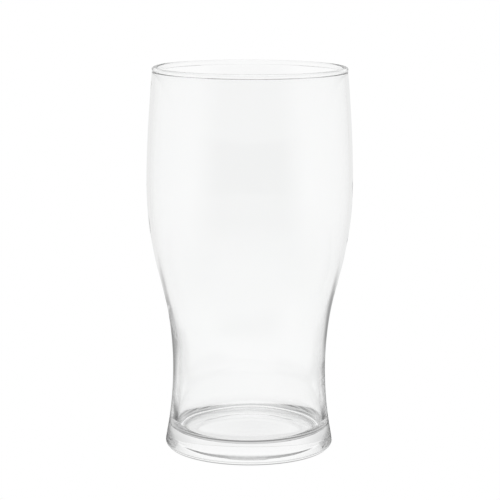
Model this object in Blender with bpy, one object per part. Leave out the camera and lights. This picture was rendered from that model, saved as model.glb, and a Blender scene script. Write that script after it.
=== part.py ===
"""A tulip pint glass, blown in one piece of clear glass.

The glass stands on the XY plane with +Z up, and Z is its axis. Everything is in metres. The outline of
one side is drawn in the XZ plane, and a Screw modifier turns it once round the axis.
"""

import math

import bmesh
import bpy

# Outer shape, from the foot to the rim. Each station is a height, a radius and the outline's slope there.
HEIGHT = 0.1540
FOOT = (0.0018, 0.03390, -0.180)
WAIST = (0.0317, 0.03089, 0.0)
FLARE = (0.0660, 0.03530, 0.278)
BELLY = (0.1064, 0.04130, 0.0)
RIM = (HEIGHT, 0.03876, -0.088)

# Wall thickness: the heavy foot thins to an even wall above the waist.
WALL_AT_CORNER = 0.0026
WALL_AT_WAIST = 0.0018
WALL_AT_BELLY = 0.0015
WALL_AT_RIM = 0.0015

# The rim is a fire-polished bead, a little thicker than the wall. Its arc runs from the inner face of the
# wall over the top to the outer face, in degrees.
BEAD_RADIUS = 0.0011
BEAD_STANDS_OUT = 0.00015
BEAD_ARC = (240, -30)
BEAD_ROOM = 0.0035

# Inner floor, and the rounded corner that joins it to the wall.
FLOOR_HEIGHT = 0.0070
FLOOR_RADIUS = 0.0258
CORNER_TOP = 0.0112

# Underside: a flat ring to stand on, round a flat panel set in a little.
RING_OUTER_RADIUS = 0.0322
RING_INNER_RADIUS = 0.0223
PUNT_RADIUS = 0.0220
PUNT_DEPTH = 0.0003

# How finely the outline is drawn and turned.
TURN_STEPS = 72
WALL_STEPS_BELOW_BELLY = (3, 4, 4)
WALL_STEPS_ABOVE_BELLY = 4
ARC_STEPS = 5
BEAD_STEPS = 9
MERGE_DISTANCE = 0.00001
SHARP_ANGLE = math.radians(35)

GLASS_COLOUR = (0.94, 0.95, 0.95, 1.0)
GLASS_ROUGHNESS = 0.02
GLASS_IOR = 1.52


def clear_scene():
    for thing in list(bpy.data.objects):
        bpy.data.objects.remove(thing)


def curve_radius(low, high, height):
    """Radius at a height on the smooth curve between two stations."""
    span = high[0] - low[0]
    t = (height - low[0]) / span
    value = (2 * t**3 - 3 * t**2 + 1) * low[1] + (3 * t**2 - 2 * t**3) * high[1]
    slope = (t**3 - 2 * t**2 + t) * low[2] + (t**3 - t**2) * high[2]
    return value + span * slope


def outer_radius(height):
    stations = (FOOT, WAIST, FLARE, BELLY, RIM)
    for low, high in zip(stations[:-1], stations[1:]):
        if height <= high[0]:
            break
    return curve_radius(low, high, height)


def wall_thickness(height):
    """Even steps between the stated thicknesses, smoothed so that the inner face has no kinks."""
    stations = (
        (CORNER_TOP, WALL_AT_CORNER, 0.0),
        (WAIST[0], WALL_AT_WAIST, 0.0),
        (BELLY[0], WALL_AT_BELLY, 0.0),
        (HEIGHT, WALL_AT_RIM, 0.0),
    )
    for low, high in zip(stations[:-1], stations[1:]):
        if height <= high[0]:
            break
    return curve_radius(low, high, height)


def arc(centre, radii, start, end, steps):
    """Points on an elliptical arc in the XZ plane, both ends included, with its angles in degrees."""
    points = []
    for i in range(steps + 1):
        angle = math.radians(start + (end - start) * i / steps)
        points.append((centre[0] + radii[0] * math.cos(angle), centre[1] + radii[1] * math.sin(angle)))
    return points


def wall_heights():
    """Heights from the foot to just below the bead, closest together where the wall curves."""
    stops = (FOOT[0], WAIST[0], FLARE[0], BELLY[0])
    heights = []
    for low, high, steps in zip(stops[:-1], stops[1:], WALL_STEPS_BELOW_BELLY):
        heights += [low + (high - low) * i / steps for i in range(steps)]
    top = HEIGHT - BEAD_ROOM
    steps = WALL_STEPS_ABOVE_BELLY
    return heights + [BELLY[0] + (top - BELLY[0]) * i / steps for i in range(steps + 1)]


def inner_outline():
    """From the middle of the inner floor out to its corner and up the inside of the wall."""
    corner_radius = outer_radius(CORNER_TOP) - WALL_AT_CORNER
    corner = arc(
        (FLOOR_RADIUS, CORNER_TOP),
        (corner_radius - FLOOR_RADIUS, CORNER_TOP - FLOOR_HEIGHT),
        -90,
        0,
        ARC_STEPS,
    )
    wall = [(outer_radius(z) - wall_thickness(z), z) for z in wall_heights() if z > CORNER_TOP]
    return [(0.0, FLOOR_HEIGHT)] + corner + wall


def rim_outline():
    """Over the bead, from the inside to the outside."""
    middle = HEIGHT - BEAD_RADIUS
    centre = (outer_radius(middle) + BEAD_STANDS_OUT - BEAD_RADIUS, middle)
    return arc(centre, (BEAD_RADIUS, BEAD_RADIUS), *BEAD_ARC, BEAD_STEPS)


def outer_outline():
    """Down the outside of the wall and round the heel to the ring."""
    wall = [(outer_radius(z), z) for z in reversed(wall_heights())]
    foot_width = FOOT[1] - RING_OUTER_RADIUS
    heel = arc((RING_OUTER_RADIUS, FOOT[0]), (foot_width, FOOT[0]), 0, -90, ARC_STEPS)
    return wall + heel[1:]


def underside_outline():
    """Across the ring, up its chamfered inner edge and over the panel to the axis."""
    return [(RING_INNER_RADIUS, 0.0), (PUNT_RADIUS, PUNT_DEPTH), (0.0, PUNT_DEPTH)]


def make_glass_material():
    material = bpy.data.materials.new("clear_glass")
    material.use_nodes = True
    shader = material.node_tree.nodes["Principled BSDF"]
    shader.inputs["Base Color"].default_value = GLASS_COLOUR
    shader.inputs["Roughness"].default_value = GLASS_ROUGHNESS
    shader.inputs["Metallic"].default_value = 0.0
    shader.inputs["IOR"].default_value = GLASS_IOR
    shader.inputs["Transmission Weight"].default_value = 1.0
    return material


def make_glass_body():
    outline = inner_outline() + rim_outline() + outer_outline() + underside_outline()
    mesh = bpy.data.meshes.new("glass_body")
    profile = bmesh.new()
    points = [profile.verts.new((radius, 0.0, height)) for radius, height in outline]
    for first, second in zip(points[:-1], points[1:]):
        profile.edges.new((first, second))
    profile.to_mesh(mesh)
    profile.free()
    mesh.materials.append(make_glass_material())
    glass = bpy.data.objects.new("glass_body", mesh)
    bpy.context.scene.collection.objects.link(glass)
    return glass


def turn(glass):
    """One full turn about Z, applied so that the faces can be shaded smooth with sharp edges kept."""
    screw = glass.modifiers.new("turn", "SCREW")
    screw.axis = "Z"
    screw.angle = 2 * math.pi
    screw.steps = TURN_STEPS
    screw.render_steps = TURN_STEPS
    screw.use_merge_vertices = True
    screw.merge_threshold = MERGE_DISTANCE
    graph = bpy.context.evaluated_depsgraph_get()
    turned = bpy.data.meshes.new_from_object(glass.evaluated_get(graph))
    profile = glass.data
    glass.modifiers.clear()
    glass.data = turned
    bpy.data.meshes.remove(profile)
    turned.name = "glass_body"
    turned.shade_smooth()
    turned.set_sharp_from_angle(angle=SHARP_ANGLE)


clear_scene()
turn(make_glass_body())
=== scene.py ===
import math

import bpy
import numpy as np
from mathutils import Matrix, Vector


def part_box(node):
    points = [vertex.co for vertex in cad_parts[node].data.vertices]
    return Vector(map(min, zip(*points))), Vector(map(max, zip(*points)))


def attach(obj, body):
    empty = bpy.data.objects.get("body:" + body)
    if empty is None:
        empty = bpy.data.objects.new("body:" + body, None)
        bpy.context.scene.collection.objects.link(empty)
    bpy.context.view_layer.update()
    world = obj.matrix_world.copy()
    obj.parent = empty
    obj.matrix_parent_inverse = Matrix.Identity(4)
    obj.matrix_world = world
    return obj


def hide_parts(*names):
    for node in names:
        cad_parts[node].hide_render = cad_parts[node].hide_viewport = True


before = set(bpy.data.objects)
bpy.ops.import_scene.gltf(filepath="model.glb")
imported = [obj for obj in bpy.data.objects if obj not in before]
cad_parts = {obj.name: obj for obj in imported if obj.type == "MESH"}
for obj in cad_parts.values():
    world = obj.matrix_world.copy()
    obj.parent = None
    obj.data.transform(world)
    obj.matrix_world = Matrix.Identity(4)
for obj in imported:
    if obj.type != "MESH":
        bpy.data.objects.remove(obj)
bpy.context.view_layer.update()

NODE = "glass_body"
LOW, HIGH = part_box(NODE)
HEIGHT = HIGH.z - LOW.z
WIDEST_RADIUS = (HIGH.x - LOW.x) / 2

# The glass is turned in fine steps, from an outline with points about this far apart.
TURN_STEPS = 192
OUTLINE_STEP = 0.0009
SMALLEST_STEPS = 3
SAME_PLACE = 0.00001
CORNER_ANGLE = math.radians(34)
SHARP_ANGLE = math.radians(28)

# The panel under the base is set in by only this share of its depth in the CAD solid, and its edge
# slopes on inwards for PANEL_EASE more. The full step would show through the floor as a dark ring.
PANEL_SHARE = 0.2
PANEL_EASE = 0.0013

# Unevenness of the inner face: slow waves, strongest in the narrow lower half, that settle to nothing at
# the inner floor and at the rim. Each wave is (length / 2 pi, turns round the glass, phase, strength).
RIPPLE_DEPTH = 0.00018
RIPPLE_HEIGHT = 0.047
RIPPLE_SPREAD = 0.022
RIPPLE_WAVES = [(0.0085, 2, 0.0, 1.0), (0.0052, -1, 1.0, 0.35)]
SETTLE_ABOVE_FLOOR = 0.004
SETTLE_BELOW_RIM = 0.010

# The inner wall is off centre towards +X: by this much at the table, evenly less with height, and not
# at all from OFFSET_TOP up. Near the inner floor it settles to nothing, like the waves.
INNER_OFFSET = 0.00035
OFFSET_TOP = 0.060

# Clear soda-lime glass: a faint grey-green tint that drifts a little, and soft waves in the surface.
GLASS_IOR = 1.52
TINT_STOPS = [(0.30, (0.980, 0.985, 0.983)), (0.70, (0.988, 0.989, 0.989))]
TINT_SCALE = 22.0
WAVE_SCALE = 55.0
WAVE_DETAIL = 1.0
WAVE_HEIGHT = 0.00003

# Camera: a long lens, a little above the rim, looking down along +Y.
CAMERA_DISTANCE = 0.7568
CAMERA_HEIGHT = 0.2128
CAMERA_SIDE = -0.00025
CAMERA_PITCH = 9.94
CAMERA_ROLL = -0.2
LENS_MM = 137.23
SENSOR_MM = 36.0
NEAREST_SEEN = 0.05
FARTHEST_SEEN = 100.0

# Light goes through the thick base many times before it leaves.
GLASS_BOUNCES = 96
TRANSPARENT_BOUNCES = 16


def cad_outline():
    """(radius, height) of each ring of the turned CAD solid, from the middle of the inner floor
    over the rim to the middle of the underside."""
    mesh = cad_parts[NODE].data
    ring = {}
    for v in mesh.vertices:
        if abs(v.co.y) < SAME_PLACE and v.co.x > -SAME_PLACE:
            ring[v.index] = (round(v.co.x / SAME_PLACE), round(v.co.z / SAME_PLACE))
    beside = {key: set() for key in ring.values()}
    for edge in mesh.edges:
        a, b = (ring.get(i) for i in edge.vertices)
        if a is not None and b is not None and a != b:
            beside[a].add(b)
            beside[b].add(a)
    here = max((key for key in beside if len(beside[key]) == 1), key=lambda key: key[1])
    walked = [here]
    while True:
        onward = [key for key in beside[here] if key not in walked]
        if not onward:
            break
        here = onward[0]
        walked.append(here)
    if walked[0][0] > 0:
        walked.insert(0, (0, walked[0][1]))
    if walked[-1][0] > 0:
        walked.append((0, walked[-1][1]))
    return np.array(walked, float) * SAME_PLACE


def corners_of(points):
    """Indices of the outline's hard corners and of its two ends."""
    along = np.diff(points, axis=0)
    along /= np.linalg.norm(along, axis=1)[:, None]
    turned = np.arccos(np.clip((along[:-1] * along[1:]).sum(1), -1, 1))
    return [0] + [i + 1 for i in np.flatnonzero(turned > CORNER_ANGLE)] + [len(points) - 1]


def smooth_run(points):
    """A fine centripetal Catmull-Rom curve through a run of points with no hard corner in it."""
    ahead = np.vstack([2 * points[0] - points[1], points, 2 * points[-1] - points[-2]])
    fine = []
    for i in range(1, len(ahead) - 2):
        p0, p1, p2, p3 = ahead[i - 1 : i + 3]
        gaps = [math.sqrt(np.linalg.norm(b - a)) for a, b in ((p0, p1), (p1, p2), (p2, p3))]
        t0, t1 = 0.0, gaps[0]
        t2 = t1 + gaps[1]
        t3 = t2 + gaps[2]
        steps = max(SMALLEST_STEPS, round(np.linalg.norm(p2 - p1) / OUTLINE_STEP))
        for t in t1 + (t2 - t1) * np.arange(steps) / steps:
            a1 = (t1 - t) / (t1 - t0) * p0 + (t - t0) / (t1 - t0) * p1
            a2 = (t2 - t) / (t2 - t1) * p1 + (t - t1) / (t2 - t1) * p2
            a3 = (t3 - t) / (t3 - t2) * p2 + (t - t2) / (t3 - t2) * p3
            b1 = (t2 - t) / (t2 - t0) * a1 + (t - t0) / (t2 - t0) * a2
            b2 = (t3 - t) / (t3 - t1) * a2 + (t - t1) / (t3 - t1) * a3
            fine.append((t2 - t) / (t2 - t1) * b1 + (t - t1) / (t2 - t1) * b2)
    return fine


def fine_outline():
    """The outline with fine steps between its points, kept inside the CAD solid's box."""
    points = cad_outline()
    points[-2, 0] -= PANEL_EASE
    points[-2:, 1] = LOW.z + PANEL_SHARE * (points[-2:, 1] - LOW.z)
    fine = []
    corners = corners_of(points)
    for first, last in zip(corners[:-1], corners[1:]):
        fine += smooth_run(points[first : last + 1])
    fine = np.vstack([fine, points[-1]])
    return np.column_stack([fine[:, 0].clip(0, WIDEST_RADIUS), fine[:, 1].clip(LOW.z, HIGH.z)])


def ripple(height, angle):
    """How far the inner face stands out from its true radius."""
    fade = math.exp(-(((height - RIPPLE_HEIGHT) / RIPPLE_SPREAD) ** 2))
    waves = sum(
        strength * math.sin(height / length + turns * angle + phase)
        for length, turns, phase, strength in RIPPLE_WAVES
    )
    return RIPPLE_DEPTH * fade * waves


def settled(height, floor_height):
    """Share of the unevenness at a height on the inner face."""
    above = min(1.0, (height - floor_height) / SETTLE_ABOVE_FLOOR)
    below = min(1.0, max(0.0, (HEIGHT - height) / SETTLE_BELOW_RIM))
    return above * below


def ring_points(radius, height, share):
    """One ring of the turned glass. The share is 0 where the face is true."""
    shift = INNER_OFFSET * max(0.0, 1 - height / OFFSET_TOP) * share
    ring = []
    for step in range(TURN_STEPS):
        angle = step * 2 * math.pi / TURN_STEPS
        r = radius + (ripple(height, angle) * share if share else 0.0)
        ring.append((r * math.cos(angle) + shift, r * math.sin(angle), height))
    return ring


def turned_faces(rings):
    """Faces of a fan of triangles, the bands between the rings, and another fan."""
    after = [(j + 1) % TURN_STEPS for j in range(TURN_STEPS)]
    faces = [(0, 1 + j, 1 + after[j]) for j in range(TURN_STEPS)]
    for i in range(rings - 1):
        a = 1 + i * TURN_STEPS
        b = a + TURN_STEPS
        faces += [(a + j, b + j, b + after[j], a + after[j]) for j in range(TURN_STEPS)]
    last = 1 + (rings - 1) * TURN_STEPS
    end = 1 + rings * TURN_STEPS
    faces += [(last + j, end, last + after[j]) for j in range(TURN_STEPS)]
    return faces


def make_glass_mesh():
    """Turns the outline about Z, with an uneven inner face."""
    points = fine_outline()
    lip = int(points[:, 1].argmax())
    floor_height = points[0, 1]
    verts = [(0.0, 0.0, floor_height)]
    for i in range(1, len(points) - 1):
        radius, height = points[i]
        inside = i < lip and height > floor_height + SAME_PLACE
        verts += ring_points(radius, height, settled(height, floor_height) if inside else 0.0)
    verts.append((0.0, 0.0, points[-1, 1]))
    mesh = bpy.data.meshes.new("pint_glass")
    mesh.from_pydata(verts, [], turned_faces(len(points) - 2))
    mesh.validate()
    mesh.shade_smooth()
    mesh.set_sharp_from_angle(angle=SHARP_ANGLE)
    return mesh


class Nodes:
    """Small helper that adds and links shader nodes."""

    def __init__(self, tree):
        self.tree = tree

    def add(self, kind, **settings):
        node = self.tree.nodes.new(kind)
        for name, value in settings.items():
            setattr(node, name, value)
        return node

    def wire(self, socket, value):
        if isinstance(value, bpy.types.NodeSocket):
            self.tree.links.new(value, socket)
        else:
            socket.default_value = value

    def math(self, operation, a, b=0.0, clamp=False):
        node = self.add("ShaderNodeMath", operation=operation, use_clamp=clamp)
        self.wire(node.inputs[0], a)
        self.wire(node.inputs[1], b)
        return node.outputs[0]

    def blend(self, first, second, share):
        """The first value where the share is 0, the second where it is 1."""
        change = self.math("SUBTRACT", second, first)
        return self.math("ADD", first, self.math("MULTIPLY", share, change))

    def noise(self, place, scale, detail=2.0):
        node = self.add("ShaderNodeTexNoise")
        self.wire(node.inputs["Vector"], place)
        node.inputs["Scale"].default_value = scale
        node.inputs["Detail"].default_value = detail
        return node.outputs[0]

    def ramp(self, value, stops):
        """A ramp, from (position, brightness) or (position, colour) pairs."""
        node = self.add("ShaderNodeValToRGB")
        marks = node.color_ramp.elements
        while len(marks) < len(stops):
            marks.new(0.5)
        while len(marks) > len(stops):
            marks.remove(marks[-1])
        for mark, (position, level) in zip(marks, stops):
            mark.position = position
            colour = level if isinstance(level, tuple) else (level, level, level)
            mark.color = (*colour, 1.0)
        self.wire(node.inputs[0], value)
        return node.outputs[0]


def glass_material():
    material = bpy.data.materials.new("clear_glass")
    material.use_nodes = True
    tree = material.node_tree
    shader = tree.nodes["Principled BSDF"]
    shader.inputs["Transmission Weight"].default_value = 1.0
    shader.inputs["Roughness"].default_value = 0.0
    shader.inputs["IOR"].default_value = GLASS_IOR
    n = Nodes(tree)
    place = n.add("ShaderNodeTexCoord").outputs["Object"]
    n.wire(shader.inputs["Base Color"], n.ramp(n.noise(place, TINT_SCALE), TINT_STOPS))
    bump = n.add("ShaderNodeBump")
    bump.inputs["Distance"].default_value = WAVE_HEIGHT
    n.wire(bump.inputs["Height"], n.noise(place, WAVE_SCALE, WAVE_DETAIL))
    n.wire(shader.inputs["Normal"], bump.outputs[0])
    return material


def make_glass():
    mesh = make_glass_mesh()
    mesh.materials.append(glass_material())
    glass = bpy.data.objects.new("pint_glass", mesh)
    bpy.context.scene.collection.objects.link(glass)
    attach(glass, "root")
    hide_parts(NODE)


# What the glass mirrors: a studio with a pale table, a white backdrop and a dim ceiling. The table is
# white to look at and carries painted shade where the glass mirrors it. Stops are pairs of a position and
# a brightness. The position is the distance from the glass's axis in GLASS_EDGE, NEAR_EDGE, CONTACT_STOPS
# and the table's back, side and front, and the height of a unit direction in the room's. In NEAR_BY_TURN
# and the sectors it is the turn: 0 at the back of the room, 1 at the front.
TABLE_RADIUS = 12.0
TABLE_CORNERS = 96
TABLE_GAP = 0.0002
TABLE_REACH = 0.5
UNDER_GLASS = 0.72
GLASS_EDGE = [(0.033, 0.0), (0.0345, 1.0)]
NEAR_EDGE = [(0.062, 0.0), (0.082, 1.0)]
NEAR_BY_TURN = [(0.0, 1.0), (0.09, 1.0), (0.15, 0.05), (0.62, 0.05), (0.80, 0.90)]
TABLE_SECTOR = [(0.18, 1.0), (0.27, 0.0)]
ROOM_SECTOR = [(0.15, 1.0), (0.45, 0.0)]
FRONT_SECTOR = [(0.62, 0.0), (0.80, 1.0)]
TABLE_BACK = [(0.20, 0.32), (0.30, 0.85)]
TABLE_SIDE = [(0.0, 0.88)]
TABLE_FRONT = [(0.16, 0.90), (0.35, 0.45)]
ROOM_BACK = [(0.0, 0.60), (0.12, 1.0), (0.26, 1.0), (0.36, 0.50), (0.60, 0.25), (0.88, 0.20), (0.94, 1.0)]
ROOM_SIDE = [(0.0, 0.85), (0.20, 0.60), (0.45, 0.20), (0.88, 0.20), (0.94, 1.0)]
ROOM_FRONT = [(0.0, 0.70), (0.40, 0.60), (0.88, 0.15), (0.94, 1.0)]
CONTACT_STOPS = [(0.0265, 0.96), (0.0295, 0.40), (0.0320, 0.25), (0.0328, 1.0)]
CONTACT_REACH = 0.05
CONTACT_FADE = 0.02


def never_mirrored(n):
    """1 for light that reaches the eye straight or bent by the glass, 0 for light that was mirrored."""
    depth = n.add("ShaderNodeLightPath").outputs["Glossy Depth"]
    return n.math("LESS_THAN", depth, 0.5)


def turn_of(n, x, y):
    """0 at the back of the room, 1 at its front, the same on the left and the right."""
    return n.math("DIVIDE", n.math("ABSOLUTE", n.math("ARCTAN2", x, y)), math.pi)


def by_sector(n, turn, sector, back, side, front):
    """Blends three brightnesses by the side of the room that a direction or a place is on."""
    level = n.blend(side, back, n.ramp(turn, sector))
    return n.blend(level, front, n.ramp(turn, FRONT_SECTOR))


def light_room():
    """The backdrop and ceiling, pure white to look at and graded where the glass mirrors them."""
    world = bpy.data.worlds.new("studio")
    bpy.context.scene.world = world
    world.use_nodes = True
    tree = world.node_tree
    tree.nodes.clear()
    n = Nodes(tree)
    split = n.add("ShaderNodeSeparateXYZ")
    n.wire(split.inputs[0], n.add("ShaderNodeTexCoord").outputs["Generated"])
    x, y, z = split.outputs
    up = n.math("MAXIMUM", z, 0.0)
    levels = [n.ramp(up, stops) for stops in (ROOM_BACK, ROOM_SIDE, ROOM_FRONT)]
    room = by_sector(n, turn_of(n, x, y), ROOM_SECTOR, *levels)
    glow = n.add("ShaderNodeBackground")
    n.wire(glow.inputs["Color"], n.math("MAXIMUM", room, never_mirrored(n)))
    n.wire(n.add("ShaderNodeOutputWorld").inputs["Surface"], glow.outputs[0])


def painted_table_shade(n, reach, turn):
    """Painted shade on the table where the glass mirrors it: grey under the glass, near black close round
    it at the sides, and darker farther off behind and in front.
    """
    share = n.math("DIVIDE", reach, TABLE_REACH)
    sectors = (TABLE_BACK, TABLE_SIDE, TABLE_FRONT)
    graded = [n.ramp(share, over(TABLE_REACH, stops)) for stops in sectors]
    far = by_sector(n, turn, TABLE_SECTOR, *graded)
    near = n.ramp(turn, NEAR_BY_TURN)
    level = n.blend(near, far, n.ramp(share, over(TABLE_REACH, NEAR_EDGE)))
    return n.blend(UNDER_GLASS, level, n.ramp(share, over(TABLE_REACH, GLASS_EDGE)))


def over(reach, stops):
    """The same stops, for a ramp whose 1 stands at the reach."""
    return [(at / reach, level) for at, level in stops]


def table_material():
    """Pure white to look at, with a thin contact shadow under the front of the ring and painted shade
    where the glass mirrors it.
    """
    material = bpy.data.materials.new("table_top")
    material.use_nodes = True
    tree = material.node_tree
    tree.nodes.clear()
    n = Nodes(tree)
    split = n.add("ShaderNodeSeparateXYZ")
    n.wire(split.inputs[0], n.add("ShaderNodeNewGeometry").outputs["Position"])
    x, y, _ = split.outputs
    reach = n.math("SQRT", n.math("ADD", n.math("MULTIPLY", x, x), n.math("MULTIPLY", y, y)))
    # Painted shade on the table where it is mirrored, white where it is seen straight or through the
    # glass.
    seen = n.math("MAXIMUM", painted_table_shade(n, reach, turn_of(n, x, y)), never_mirrored(n))
    contact = n.ramp(n.math("DIVIDE", reach, CONTACT_REACH), over(CONTACT_REACH, CONTACT_STOPS))
    behind = n.math("DIVIDE", y, CONTACT_FADE, clamp=True)
    glow = n.add("ShaderNodeEmission")
    n.wire(glow.inputs["Color"], n.math("MULTIPLY", seen, n.math("MAXIMUM", contact, behind)))
    n.wire(n.add("ShaderNodeOutputMaterial").inputs["Surface"], glow.outputs[0])
    return material


def make_table():
    """A wide round table top."""
    mesh = bpy.data.meshes.new("table")
    corners = np.linspace(0, 2 * math.pi, TABLE_CORNERS + 1)[:-1]
    edge = [(TABLE_RADIUS * math.cos(a), TABLE_RADIUS * math.sin(a), 0.0) for a in corners]
    mesh.from_pydata(edge, [], [tuple(range(len(edge)))])
    mesh.materials.append(table_material())
    table = bpy.data.objects.new("table", mesh)
    table.location.z = LOW.z - TABLE_GAP
    bpy.context.scene.collection.objects.link(table)


def make_camera():
    data = bpy.data.cameras.new("camera")
    data.lens = LENS_MM
    data.sensor_width = SENSOR_MM
    data.clip_start = NEAREST_SEEN
    data.clip_end = FARTHEST_SEEN
    camera = bpy.data.objects.new("camera", data)
    camera.location = (CAMERA_SIDE, -CAMERA_DISTANCE, CAMERA_HEIGHT)
    camera.rotation_euler = (math.radians(90 - CAMERA_PITCH), math.radians(CAMERA_ROLL), 0.0)
    bpy.context.scene.collection.objects.link(camera)
    bpy.context.scene.camera = camera


def set_picture():
    scene = bpy.context.scene
    scene.view_settings.view_transform = "Standard"
    scene.cycles.max_bounces = GLASS_BOUNCES
    scene.cycles.transmission_bounces = GLASS_BOUNCES
    scene.cycles.glossy_bounces = GLASS_BOUNCES
    scene.cycles.transparent_max_bounces = TRANSPARENT_BOUNCES


make_camera()
make_glass()
make_table()
light_room()
set_picture()
